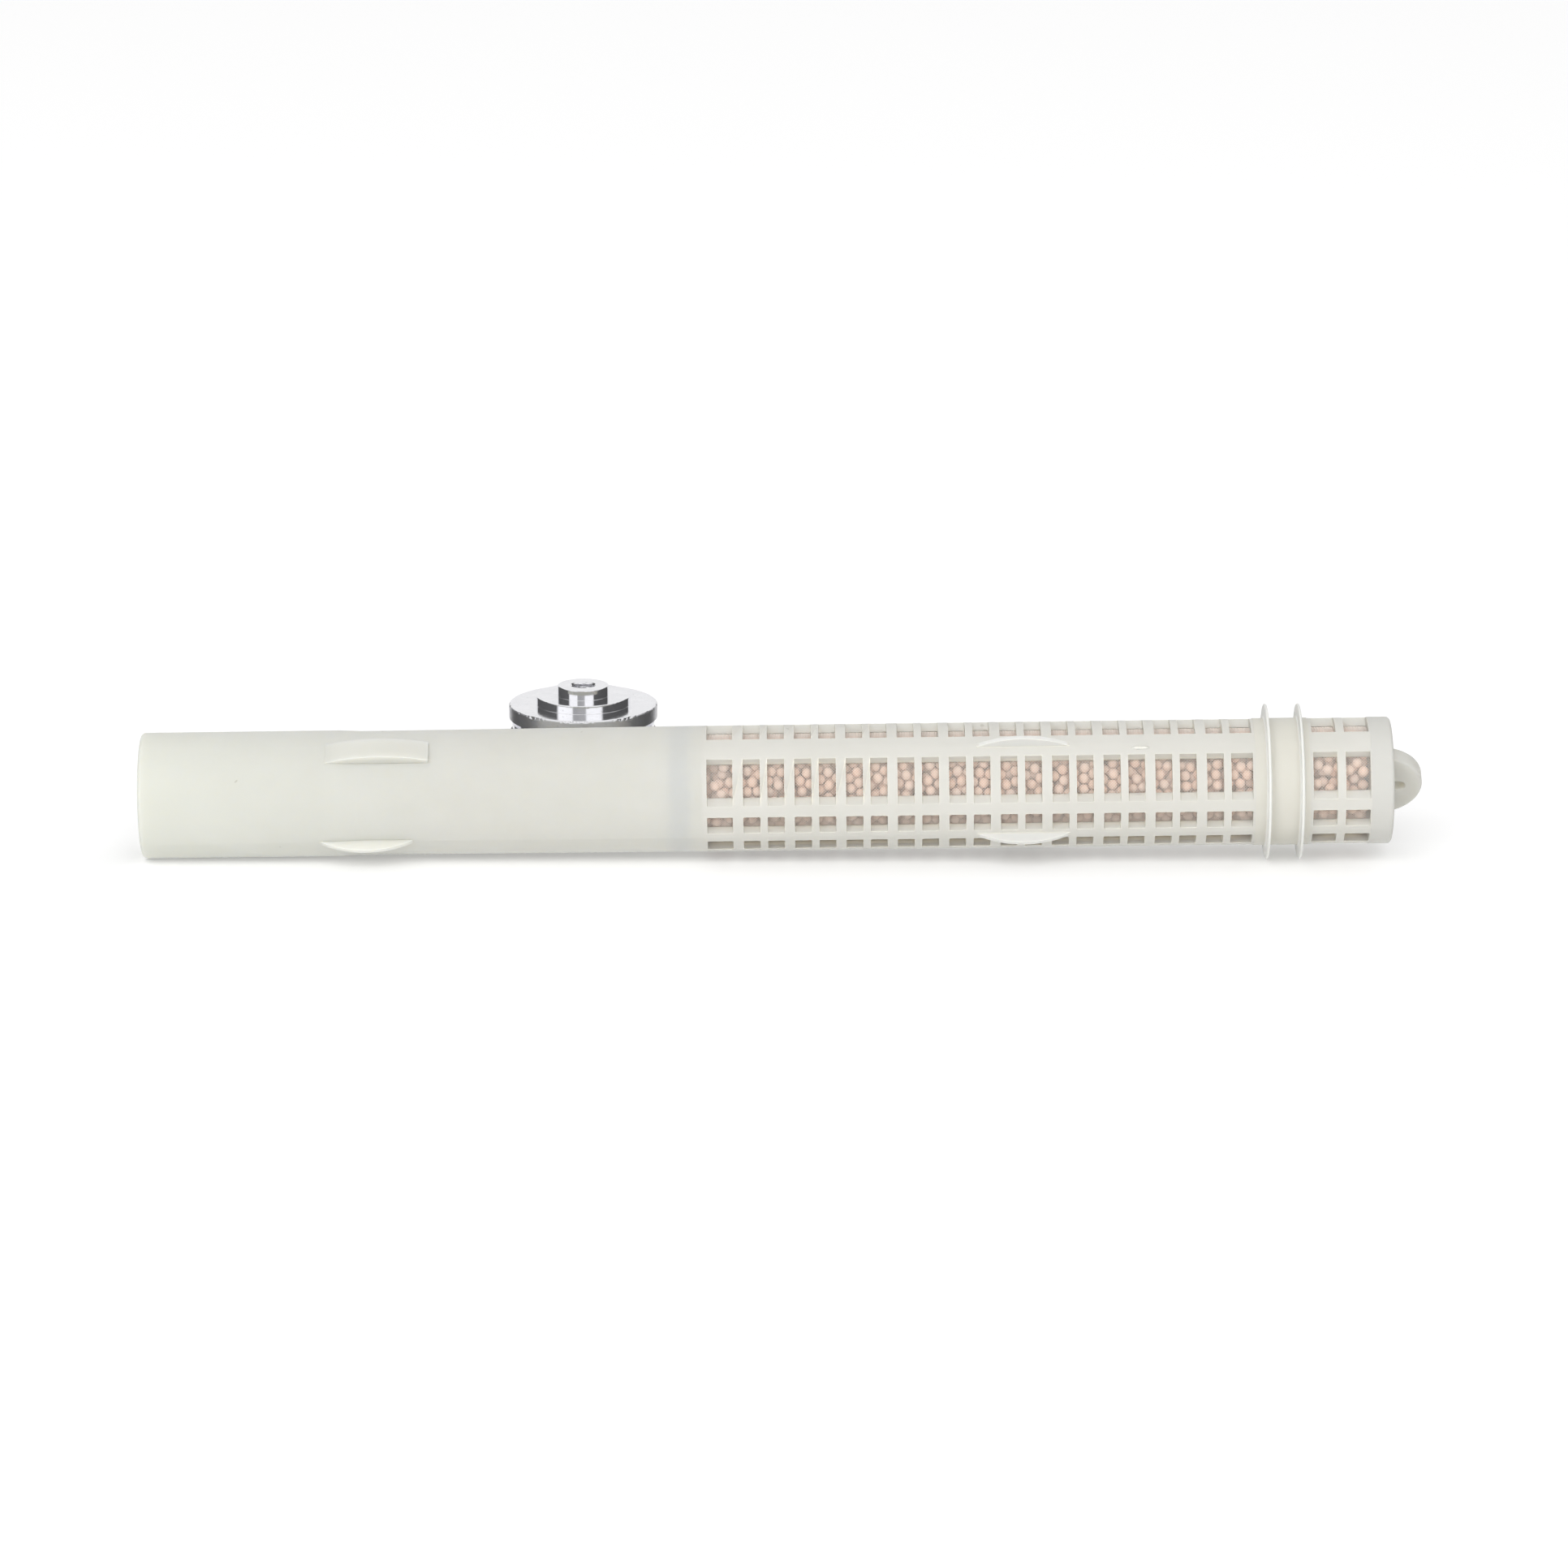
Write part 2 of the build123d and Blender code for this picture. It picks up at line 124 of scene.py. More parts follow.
# ---------------------------------------------------------------- material helpers
class Nodes:
    """A node tree being built: add nodes by type, set their inputs and link them."""

    def __init__(self, name):
        self.material = bpy.data.materials.new(name)
        self.material.use_nodes = True
        self.tree = self.material.node_tree
        self.shader = self.tree.nodes["Principled BSDF"]

    def add(self, kind, inputs=None, **settings):
        node = self.tree.nodes.new(kind)
        for key, value in settings.items():
            setattr(node, key, value)
        for key, value in (inputs or {}).items():
            self.set(node, key, value)
        return node

    def set(self, node, key, value):
        if isinstance(value, bpy.types.NodeSocket):
            self.tree.links.new(value, node.inputs[key])
        else:
            node.inputs[key].default_value = value

    def surface(self, **inputs):
        for key, value in inputs.items():
            self.set(self.shader, key.replace("_", " "), value)

    def coordinates(self):
        return self.add("ShaderNodeTexCoord").outputs["Object"]

    def noise(self, vector, scale, detail=3.0, roughness=0.5):
        inputs = {"Vector": vector, "Scale": scale, "Detail": detail, "Roughness": roughness}
        return self.add("ShaderNodeTexNoise", inputs).outputs["Fac"]

    def scaled(self, vector, scale):
        inputs = {"Vector": vector, "Scale": scale}
        return self.add("ShaderNodeMapping", inputs).outputs["Vector"]

    def ramp(self, value, *stops):
        node = self.add("ShaderNodeValToRGB", {"Fac": value})
        points = node.color_ramp.elements
        while len(points) < len(stops):
            points.new(1.0)
        for point, (position, colour) in zip(points, stops):
            point.position = position
            point.color = (*colour, 1.0)
        return node.outputs["Color"]

    def range(self, value, low, high, start=0.0, end=1.0):
        inputs = {"Value": value, "From Min": start, "From Max": end, "To Min": low, "To Max": high}
        return self.add("ShaderNodeMapRange", inputs).outputs["Result"]

    def math(self, operation, first, second=0.0):
        node = self.add("ShaderNodeMath", {0: first, 1: second}, operation=operation)
        return node.outputs["Value"]

    def vector(self, operation, inputs, output="Vector"):
        return self.add("ShaderNodeVectorMath", inputs, operation=operation).outputs[output]

    def mix(self, factor, first, second):
        node = self.add("ShaderNodeMix", data_type="RGBA")
        for key, value in ((0, factor), (6, first), (7, second)):
            if isinstance(value, tuple) and len(value) == 3:
                value = (*value, 1.0)
            self.set(node, key, value)
        return node.outputs[2]

    def bump(self, height, distance, strength=1.0, normal=None):
        inputs = {"Height": height, "Distance": distance, "Strength": strength}
        if normal is not None:
            inputs["Normal"] = normal
        return self.add("ShaderNodeBump", inputs).outputs["Normal"]

    def cartridge_coordinates(self, point):
        """Distance from the open end, and distance from the axis of the cartridge."""
        offset = self.vector("SUBTRACT", {0: point, 1: MOUTH})
        along = self.vector("DOT_PRODUCT", {0: offset, 1: AXIS}, "Value")
        on_axis = self.vector("SCALE", {0: AXIS, "Scale": along})
        out = self.vector("LENGTH", {0: self.vector("SUBTRACT", {0: offset, 1: on_axis})}, "Value")
        return along, out


# ---------------------------------------------------------------- materials
COOL_END = 60 * MM
COOL_TINT = (0.70, 0.735, 0.68)
SPECK_COLOUR = (0.42, 0.40, 0.34)
# Light scatters in the walls, but less and less towards the joints where two mouldings meet flush,
# which would come out as dark lines, and on the skin of the thin ribs, which would glow.
SCATTER_DEPTH = 3.0 * MM
FLUSH_JOINTS = (102.4 * MM, 202.9 * MM, 212.8 * MM, 223.9 * MM)
JOINT_FADE = 3.0 * MM
JOINT_SCATTER = 0.02
OUTER_SKIN = (10.5 * MM, 10.75 * MM)
SKIN_SCATTER = 0.12
# Wings and fins stand out from the skin from this radius, and there a lighter colour may be painted on them:
# painted glow, in place of the light that scatters through the thin plastic.
PAINTED_GLOW_FROM = (11.65 * MM, 11.8 * MM)


def nylon(name, light, shade, painted_glow=None, solid=False):
    """Natural moulded nylon: milky, slightly mottled, satin, with a faint moulding grain.

    The colour for wings and fins, when given, is painted glow: a lighter colour painted on them in place of
    the light that scatters through the thin plastic; solid says that the piece has no windows in its wall.
    """
    n = Nodes(name)
    here = n.coordinates()
    along, out = n.cartridge_coordinates(here)
    mottle = n.noise(here, 90.0, 4.0, 0.55)
    flow = n.noise(n.scaled(here, (25.0, 160.0, 160.0)), 1.0, 3.0)
    colour = n.mix(n.range(mottle, 0.0, 0.7, 0.35, 0.7), light, shade)
    colour = n.mix(n.range(flow, 0.0, 0.3, 0.4, 0.75), colour, shade)
    colour = n.mix(n.range(along, 0.75, 0.0, 0.0, COOL_END), colour, n.mix(0.5, colour, COOL_TINT))
    speck = n.range(n.noise(here, 430.0, 1.0, 0.4), 0.0, 0.5, 0.80, 0.81)
    colour = n.mix(speck, colour, SPECK_COLOUR)
    grain = n.noise(here, 5200.0, 3.0, 0.6)
    ripple = n.noise(n.scaled(here, (120.0, 700.0, 700.0)), 1.0, 2.0)
    to_joint = n.math("ABSOLUTE", n.math("SUBTRACT", along, FLUSH_JOINTS[0]))
    for joint in FLUSH_JOINTS[1:]:
        to_joint = n.math("MINIMUM", to_joint, n.math("ABSOLUTE", n.math("SUBTRACT", along, joint)))
    normal = n.bump(ripple, 0.02 * MM, 0.6)
    normal = n.bump(grain, 0.004 * MM, 0.7, normal)
    # Painted light: wings and fins get a lighter colour painted on, standing in for the light that scatters
    # through the thin plastic.
    if painted_glow:
        colour = n.mix(n.range(out, 0.0, 1.0, *PAINTED_GLOW_FROM), colour, painted_glow)
    depth = n.range(to_joint, JOINT_SCATTER, 1.0, 0.0, JOINT_FADE)
    if not solid:
        n.shader.subsurface_method = "BURLEY"
        depth = n.math("MULTIPLY", depth, n.range(out, 1.0, SKIN_SCATTER, *OUTER_SKIN))
    n.surface(
        Base_Color=colour,
        Roughness=n.range(grain, 0.36, 0.5, 0.3, 0.7),
        Normal=normal,
        IOR=1.52,
        Subsurface_Weight=1.0,
        Subsurface_Radius=(1.0, 0.92, 0.76),
        Subsurface_Scale=n.math("MULTIPLY", depth, SCATTER_DEPTH),
    )
    return n.material


def bead_ceramic():
    """Dusty pink molecular sieve: each bead a little different, with a chalky skin."""
    n = Nodes("desiccant_ceramic")
    here = n.coordinates()
    each = n.add("ShaderNodeNewGeometry").outputs["Random Per Island"]
    tint = n.ramp(
        each,
        (0.0, (0.95, 0.68, 0.53)),
        (0.45, (0.98, 0.74, 0.60)),
        (0.8, (0.98, 0.77, 0.64)),
        (1.0, (0.97, 0.79, 0.68)),
    )
    dust = n.noise(here, 2600.0, 4.0, 0.65)
    colour = n.mix(n.range(dust, 0.0, 0.5, 0.5, 0.8), tint, (0.99, 0.84, 0.74))
    n.surface(
        Base_Color=colour,
        Roughness=n.range(dust, 0.75, 0.95),
        Normal=n.bump(dust, 0.02 * MM, 0.6),
        Specular_IOR_Level=0.25,
    )
    return n.material


def net_fibre():
    """Clear-white nylon thread."""
    n = Nodes("net_fibre")
    here = n.coordinates()
    tone = n.noise(here, 800.0, 2.0)
    n.surface(
        Base_Color=n.mix(n.range(tone, 0.0, 1.0, 0.3, 0.7), (0.99, 0.92, 0.86), (0.96, 0.88, 0.81)),
        Roughness=n.range(tone, 0.3, 0.45),
        IOR=1.52,
    )
    return n.material


def felt():
    """Pressed white filter felt: matted fibres in every direction."""
    n = Nodes("filter_felt")
    here = n.coordinates()
    fibres = n.noise(n.scaled(here, (900.0, 4200.0, 2400.0)), 1.0, 5.0, 0.7)
    clumps = n.noise(here, 900.0, 3.0)
    n.surface(
        Base_Color=n.mix(n.range(fibres, 0.0, 1.0, 0.35, 0.65), (0.84, 0.83, 0.79), (0.70, 0.69, 0.65)),
        Roughness=n.range(clumps, 0.85, 0.98),
        Normal=n.bump(fibres, 0.06 * MM, 0.9),
        Sheen_Weight=0.4,
    )
    return n.material


def rubber():
    """Black moulded seal rubber with a thin film of oil."""
    n = Nodes("seal_rubber")
    here = n.coordinates()
    skin = n.noise(here, 1500.0, 3.0)
    n.surface(
        Base_Color=n.mix(n.range(skin, 0.0, 1.0, 0.3, 0.7), (0.014, 0.014, 0.015), (0.028, 0.028, 0.03)),
        Roughness=n.range(skin, 0.28, 0.5),
        Normal=n.bump(skin, 0.01 * MM, 0.5),
    )
    return n.material


# How much duller the faces that look up are, and the rim of the flange, past its edge.
TOP_DULLING = 0.05
FLANGE_DULLING = 0.24
FLANGE_EDGE = (13.6 * MM, 13.8 * MM)


def turned_aluminium():
    """Bright turned aluminium: fine rings from the lathe, smudges, and small dull specks."""
    n = Nodes("turned_aluminium")
    here = n.vector("SUBTRACT", {0: n.coordinates(), 1: PLUG_FOOT})
    parts = n.add("ShaderNodeSeparateXYZ", {"Vector": here}).outputs
    flat = n.add("ShaderNodeCombineXYZ", {"X": parts["X"], "Y": parts["Y"]}).outputs["Vector"]
    radius = n.vector("LENGTH", {0: flat}, "Value")
    lathe_space = n.add("ShaderNodeCombineXYZ", {"X": radius, "Z": parts["Z"]}).outputs["Vector"]
    lines = n.noise(lathe_space, 7000.0, 2.0, 0.6)
    smudge = n.noise(here, 300.0, 4.0, 0.6)
    patches = n.noise(here, 1100.0, 3.0, 0.6)
    specks = n.range(n.noise(here, 2400.0, 2.0, 0.5), 0.0, 1.0, 0.66, 0.72)
    colour = n.mix(n.range(smudge, 0.0, 1.0, 0.35, 0.7), (0.92, 0.92, 0.945), (0.86, 0.86, 0.885))
    colour = n.mix(n.math("MULTIPLY", specks, 0.3), colour, (0.40, 0.40, 0.42))
    roughness = n.math("ADD", n.range(smudge, 0.05, 0.09, 0.3, 0.7), n.range(patches, 0.0, 0.06, 0.45, 0.75))
    facing = n.add("ShaderNodeNewGeometry").outputs["Normal"]
    facing_up = n.add("ShaderNodeSeparateXYZ", {"Vector": facing}).outputs["Z"]
    roughness = n.math("ADD", roughness, n.range(facing_up, 0.0, TOP_DULLING, 0.6, 0.9))
    roughness = n.math("ADD", roughness, n.range(radius, 0.0, FLANGE_DULLING, *FLANGE_EDGE))
    tangent = n.add("ShaderNodeTangent", direction_type="RADIAL", axis="Z").outputs["Tangent"]
    n.surface(
        Base_Color=colour,
        Metallic=1.0,
        Roughness=roughness,
        Anisotropic=0.35,
        Tangent=tangent,
        Normal=n.bump(lines, 0.0010 * MM, 0.45),
    )
    return n.material


# ---------------------------------------------------------------- desiccant beads
def sphere_template(subdivisions):
    """Unit icosphere as vertex and face arrays."""
    shape = bmesh.new()
    bmesh.ops.create_icosphere(shape, subdivisions=subdivisions, radius=1.0)
    vertices = np.array([v.co for v in shape.verts])
    faces = np.array([[v.index for v in f.verts] for f in shape.faces])
    shape.free()
    return vertices, faces


def settle_layer(radius, rng):
    """Places for one layer of beads against a cylinder: each step pushes apart the ones that overlap."""
    around = 2 * math.pi * radius
    low, high = CHARGE_SPAN[0] + BEAD_R, CHARGE_SPAN[1] - BEAD_R
    count = int(BEAD_COVER * around * (high - low) / (math.pi * BEAD_R**2))
    points = np.column_stack((rng.uniform(0, around, count), rng.uniform(low, high, count)))
    for _ in range(SETTLING_STEPS):
        points = points[np.argsort(points[:, 1])]
        move = np.zeros_like(points)
        for offset in range(1, count):
            gap = points[offset:] - points[:-offset]
            if gap[:, 1].min() > 2 * BEAD_R:
                break
            gap[:, 0] -= around * np.round(gap[:, 0] / around)
            distance = np.sqrt((gap**2).sum(1)) + TOO_CLOSE
            push = gap * (0.5 * np.clip(2 * BEAD_R / distance - 1, 0, 1.0))[:, None]
            move[offset:] += push
            move[:-offset] -= push
        points += SETTLING_PACE * move
        points[:, 0] %= around
        points[:, 1] = np.clip(points[:, 1], low, high)
    sunk = rng.uniform(0, 1, count) ** SINKING_POWER * SINKING
    angle, reach = points[:, 0] / radius, radius - sunk
    return np.column_stack((reach * np.cos(angle), reach * np.sin(angle), points[:, 1]))


def bead_piece(name, centres, subdivisions, material, rng):
    """Beads at those centres as one piece, each a little out of round and of its own size."""
    sphere, faces = sphere_template(subdivisions)
    count = len(centres)
    size = BEAD_R * rng.uniform(*BEAD_SIZES, (count, 1, 1)) * rng.uniform(*BEAD_ROUNDNESS, (count, 1, 3))
    vertices = (sphere[None] * size + centres[:, None, :]).reshape(-1, 3)
    all_faces = (faces[None] + np.arange(count)[:, None, None] * len(sphere)).reshape(-1, 3)
    return build_piece(name, CARTRIDGE, "desiccant", material, CARTRIDGE_FRAME, vertices, all_faces)


def make_beads():
    """The charge, layer by layer: fine beads against the net, where they are seen, coarse ones behind."""
    material = bead_ceramic()
    rng = np.random.default_rng(SEED)
    for layer, subdivisions in enumerate(BEAD_LAYERS):
        centres = settle_layer(CHARGE_R - BEAD_R - layer * LAYER_DEPTH, rng)
        bead_piece(f"desiccant_layer_{layer + 1}", centres, subdivisions, material, rng)
    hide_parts("desiccant_beads")


# ---------------------------------------------------------------- woven net
def thread_arrays(start, end, direction):
    """Threads that wind one way round the cage, over and under those that wind the other way."""
    step = math.pi * NET_R / NET_THREADS
    rows = int((end - start) / step)
    row = np.arange(rows)
    thread = np.arange(NET_THREADS)[:, None]
    angle = 2 * math.pi * thread / NET_THREADS + direction * row * step / NET_R
    radius = NET_R + direction * THREAD_WAVE * np.where(row % 2, -1.0, 1.0)
    radial = np.stack((np.cos(angle), np.sin(angle), np.zeros_like(angle)), -1)
    around = np.stack((-np.sin(angle), np.cos(angle), np.zeros_like(angle)), -1)
    centre = radial * radius[None, :, None]
    centre[:, :, 2] = start + row * step
    tangent = (direction * around + np.array((0, 0, 1.0))) / math.sqrt(2)
    across = np.cross(tangent, radial)
    corners = []
    for corner in range(THREAD_SIDES):
        turn = math.pi * (1 + 2 * corner) / THREAD_SIDES
        corners.append(centre + THREAD_R * (math.cos(turn) * across + math.sin(turn) * radial))
    vertices = np.stack(corners, 2).reshape(-1, 3)
    first = (thread * rows + row[None, :-1]) * THREAD_SIDES
    walls = []
    for corner in range(THREAD_SIDES):
        near = np.stack((first + corner, first + (corner + 1) % THREAD_SIDES), -1)
        walls.append(np.concatenate((near, near[..., ::-1] + THREAD_SIDES), -1).reshape(-1, 4))
    end_face = np.arange(THREAD_SIDES)[None]
    starts = thread * rows * THREAD_SIDES + end_face[:, ::-1]
    ends = (thread * rows + rows - 1) * THREAD_SIDES + end_face
    return vertices, np.concatenate(walls), np.concatenate((starts, ends))


def make_net():
    """The net: two families of crossing threads in each stretch between the solid bands of the cage."""
    material = net_fibre()
    for stretch, (start, end) in NET_STRETCHES.items():
        warp, warp_walls, warp_ends = thread_arrays(start, end, 1)
        weft, weft_walls, weft_ends = thread_arrays(start, end, -1)
        vertices = np.concatenate((warp, weft))
        walls = np.concatenate((warp_walls, weft_walls + len(warp)))
        ends = np.concatenate((warp_ends, weft_ends + len(warp)))
        name = f"net_{stretch}"
        net = build_piece(name, CARTRIDGE, "woven_net", material, CARTRIDGE_FRAME, vertices, walls, ends)
        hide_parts("net_sleeve")


# ---------------------------------------------------------------- mark of the moulding gate
GATE_AT = 182.0 * MM
GATE_ANGLE = -85.3
GATE_SEAT_R = 11.5 * MM
GATE_SIZE = (0.16 * MM, 0.38 * MM, 1.7 * MM)
GATE_ROUGHNESS = 0.35
GATE_SUBDIVISIONS = 4


def make_gate_mark(material):
    """The torn stub that the moulding gate leaves on the wide rib: a low ridge, rough along its top."""
    rng = np.random.default_rng(SEED + 3)
    sphere, faces = sphere_template(GATE_SUBDIVISIONS)
    uneven = 1 + GATE_ROUGHNESS * rng.uniform(-1, 1, (len(sphere), 1)) * np.abs(sphere[:, :1])
    out, across = outward(GATE_ANGLE), outward(GATE_ANGLE + 90)
    place = MOUTH + AXIS * GATE_AT + out * GATE_SEAT_R
    stand = Matrix.Translation(place) @ Matrix((out, across, AXIS)).transposed().to_4x4()
    build_piece("gate_mark", CARTRIDGE, "cage_nylon", material, stand, sphere * GATE_SIZE * uneven, faces)


# ---------------------------------------------------------------- turned parts and felt
def lathe_arrays(profile, segments, shift=None):
    """Surface of revolution about Z from (radius, height) rows; shift moves the points of each ring.

    shift(ring, radius, height, turn) gives the radii and the heights of one ring.
    """
    turn = np.arange(segments) * 2 * math.pi / segments
    rings = []
    for ring, (radius, height) in enumerate(profile):
        radii, heights = np.full(segments, radius), np.full(segments, height)
        if shift is not None:
            radii, heights = shift(ring, radii, heights, turn)
        rings.append(np.column_stack((radii * np.cos(turn), radii * np.sin(turn), heights)))
    column = np.arange(segments)
    following = (column + 1) % segments
    quads = []
    for ring in range(len(profile) - 1):
        low, high = ring * segments, (ring + 1) * segments
        quads.append(np.column_stack((low + column, low + following, high + following, high + column)))
    vertices = np.concatenate([*rings, [(0, 0, profile[0][1])], [(0, 0, profile[-1][1])]])
    bottom, top = len(vertices) - 2, len(vertices) - 1
    last = (len(profile) - 1) * segments
    fans = [
        np.column_stack((np.full(segments, bottom), following, column)),
        np.column_stack((np.full(segments, top), last + column, last + following)),
    ]
    return vertices, np.concatenate(quads), np.concatenate(fans)


LONGEST_CUT = 0.45
SIDE_POINT = 0.15


def rounded(profile, radius, steps=4):
    """The profile with each of its corners rounded, and one more point close beside each end of a round."""
    points = [np.array(p, float) for p in profile]
    made = [points[0]]
    for before, corner, after in zip(points, points[1:], points[2:]):
        back, on = before - corner, after - corner
        cut = min(radius, LONGEST_CUT * np.linalg.norm(back), LONGEST_CUT * np.linalg.norm(on))
        first = corner + back / np.linalg.norm(back) * cut
        last = corner + on / np.linalg.norm(on) * cut
        made.append(first + (first - corner) * SIDE_POINT)
        for step in range(steps + 1):
            share = step / steps
            made.append((1 - share) ** 2 * first + 2 * share * (1 - share) * corner + share**2 * last)
        made.append(last + (last - corner) * SIDE_POINT)
    made.append(points[-1])
    return made


def ringed(profile):
    """The profile with close rings beside each chipped rim, so that a chip bends only its own place."""
    made = [profile[0]]
    for start, end in zip(profile, profile[1:]):
        steps = int(np.linalg.norm(end - start) / RING_STEP)
        for step in range(1, steps):
            point = start + (end - start) * step / steps
            if any(math.dist(point, rim[:2]) < CHIP_REACH + 2 * RING_STEP for rim in RIM_CHIPS):
                made.append(point)
        made.append(end)
    return made


def nicks(turn, rng, stretches, depth, width):
    """Small dents round a ring: each stretch is its middle and half length in degrees, and its count."""
    total = np.zeros_like(turn)
    for middle, half, count in stretches:
        for _ in range(count):
            at = math.radians(middle + rng.uniform(-half, half))
            wide, deep = rng.uniform(0.3, 1.0) * width, rng.uniform(0.2, 1.0) ** 2 * depth
            away = np.abs((turn - at + math.pi) % (2 * math.pi) - math.pi)
            total += deep * np.exp(-((away / wide) ** 2))
    return total


# Outside of the plug, from its foot to the top of its hole: (radius, height) in millimetres.
PLUG_PROFILE = [
    (9.1, 0),
    (9.7, 0.6),
    (9.7, 6.0),
    (12.75, 6.0),
    (13.35, 6.6),
    (13.35, 7.8),
    (11.65, 7.8),
    (11.65, 10.6),
    (13.35, 10.6),
    (13.35, 12.2),
    (11.65, 12.2),
    (11.65, 15.0),
    (13.35, 15.0),
    (13.35, 15.9),
    (12.1, 15.9),
    (12.1, 16.65),
    (13.72, 16.65),
    (13.9, 16.83),
    (13.9, 19.2),
    (13.7, 19.4),
    (8.85, 19.4),
    (8.85, 20.88),
    (8.73, 21.0),
    (4.8, 21.0),
    (4.8, 22.78),
    (4.68, 22.9),
    (2.45, 22.9),
    (2.12, 22.57),
    (2.1, 22.4),
]
PLUG_SEGMENTS = 480
EDGE_ROUND = 0.06
HOLE_R = 2.1
HOLE_END = ((HOLE_R, 13.9), (0.03, 12.7))
CHIP_WIDTH = 0.22
CHIP_BURR = 0.4
CHIP_REACH = 0.32
RING_STEP = 0.09
# Chips of each rim: its radius and height, their depth, and the stretches that nicks() takes.
RIM_CHIPS = (
    (13.9, 19.25, 0.30, ((0, 180, 60), (-129, 9, 14), (-92, 14, 16), (-54, 7, 12))),
    (8.85, 20.9, 0.06, ((0, 180, 30),)),
    (4.8, 22.8, 0.05, ((0, 180, 18),)),
)
THREAD_PITCH = 0.8
THREAD_DEPTH = 0.34
THREAD_TOP = 22.3
THREAD_BOTTOM = 14.6
THREAD_STEP = 0.08


def make_plug():
    """The end plug: rounded edges, chips along the rims and a real thread in its hole."""
    rng = np.random.default_rng(SEED + 1)
    outside = ringed(rounded(PLUG_PROFILE, EDGE_ROUND))
    heights_down = np.arange(THREAD_TOP, THREAD_BOTTOM, -THREAD_STEP)
    profile = [*outside, *((HOLE_R, z) for z in heights_down), *HOLE_END]
    turn = np.arange(PLUG_SEGMENTS) * 2 * math.pi / PLUG_SEGMENTS
    chips = []
    for radius, height, depth, stretches in RIM_CHIPS:
        inward, downward = (nicks(turn, rng, stretches, depth, CHIP_WIDTH / radius) for _ in range(2))
        chips.append((radius, height, inward, downward))

    def shift(ring, radii, heights, turn):
        if len(outside) <= ring < len(outside) + len(heights_down):
            fade = min(1.0, (THREAD_TOP - heights[0]) / THREAD_PITCH)
            phase = (heights / THREAD_PITCH - turn / (2 * math.pi)) % 1.0
            return radii + fade * THREAD_DEPTH * (1 - np.abs(2 * phase - 1)), heights
        for radius, height, inward, downward in chips:
            near = math.hypot(radii[0] - radius, heights[0] - height)
            if near < CHIP_REACH:
                share = 1 - near / CHIP_REACH
                return radii - inward * share, heights - (downward - CHIP_BURR * inward) * share
        return radii, heights

    vertices, quads, fans = lathe_arrays(profile, PLUG_SEGMENTS, shift)
    name, slot = "plug_turned_body", "turned_aluminium"
    plug = build_piece(name, PLUG, slot, turned_aluminium(), PLUG_FRAME, vertices * MM, quads, fans)
    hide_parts("plug_body")


FELT_SEGMENTS = 160
FELT_RINGS = 40
FELT_CENTRE_R = 0.3 * MM
FELT_FACE_R = 9.1 * MM
FELT_BEVEL_R = 9.38 * MM
FELT_EDGE_R = 9.45 * MM
FELT_BEVEL = 0.12 * MM
FELT_DENT = 0.03 * MM
FELT_LOOSE = 0.03
FELT_RAGGED = 0.02
FELT_RELIEF = 0.6


def make_felt_pads():
    """Pressed felt discs, a little fuzzy and dented by the beads they hold."""
    material = felt()
    rng = np.random.default_rng(SEED + 2)
    for node, (start, end) in FELT_PADS.items():
        rings = np.linspace(FELT_CENTRE_R, FELT_FACE_R, FELT_RINGS)
        middle = (start + end) / 2
        low, high = start + FELT_BEVEL, end - FELT_BEVEL
        profile = [(r, start) for r in rings]
        profile += [(FELT_BEVEL_R, low), (FELT_EDGE_R, middle), (FELT_BEVEL_R, high)]
        profile += [(r, end) for r in rings[::-1]]

        def fuzz(ring, radii, heights, turn):
            side = 1.0 if heights[0] > middle else -1.0
            pattern = np.sin(9 * turn + radii[0] * 3300) * np.cos(5 * turn - radii[0] * 2100)
            loose = rng.uniform(0, FELT_LOOSE, len(turn)) * MM
            ragged = rng.uniform(-FELT_RAGGED, FELT_RAGGED, len(turn)) * MM
            return radii + ragged, heights - side * (FELT_DENT * (1 + pattern) + loose) * FELT_RELIEF

        vertices, quads, fans = lathe_arrays(profile, FELT_SEGMENTS, fuzz)
        name = node.replace("_pad", "_disc")
        pad = build_piece(name, CARTRIDGE, "felt", material, CARTRIDGE_FRAME, vertices, quads, fans)
        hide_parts(node)


# ---------------------------------------------------------------- floor, light and camera
CAMERA_DISTANCE = 1.2614
CAMERA_ELEVATION = math.radians(15.3)
CAMERA_LENS = 158.4
VIEW_CENTRE_AT = 117.3 * MM
VIEW_CENTRE_RISE = 0.65 * MM
WORLD_LEVEL = 0.68
FLOOR_HALF = 9.0
FLOOR_GLOW = 0.20
KEY_DIRECTION = Vector((-0.12, -0.80, 0.60)).normalized()
KEY_DISTANCE = 4.0
KEY_SIZE = (4.0, 2.6)
KEY_POWER = 97.0
TENT_RADIUS = 4.5
TENT_TOP_LEVEL = 0.9
# The bands end and the plain top begins between these heights, in radii.
TENT_TOP = (0.55, 0.75)
# What polished metal mirrors, by compass angle from the camera's side: (degrees, level) pairs.
TENT_LEVELS = [
    (-180, 0.90),
    (-151, 0.90),
    (-146, 0.09),
    (-67, 0.11),
    (-62, 1.15),
    (-27, 1.15),
    (-23, 0.40),
    (6, 0.46),
    (10, 1.15),
    (46, 1.15),
    (51, 0.10),
    (144, 0.08),
    (149, 0.90),
    (180, 0.90),
]


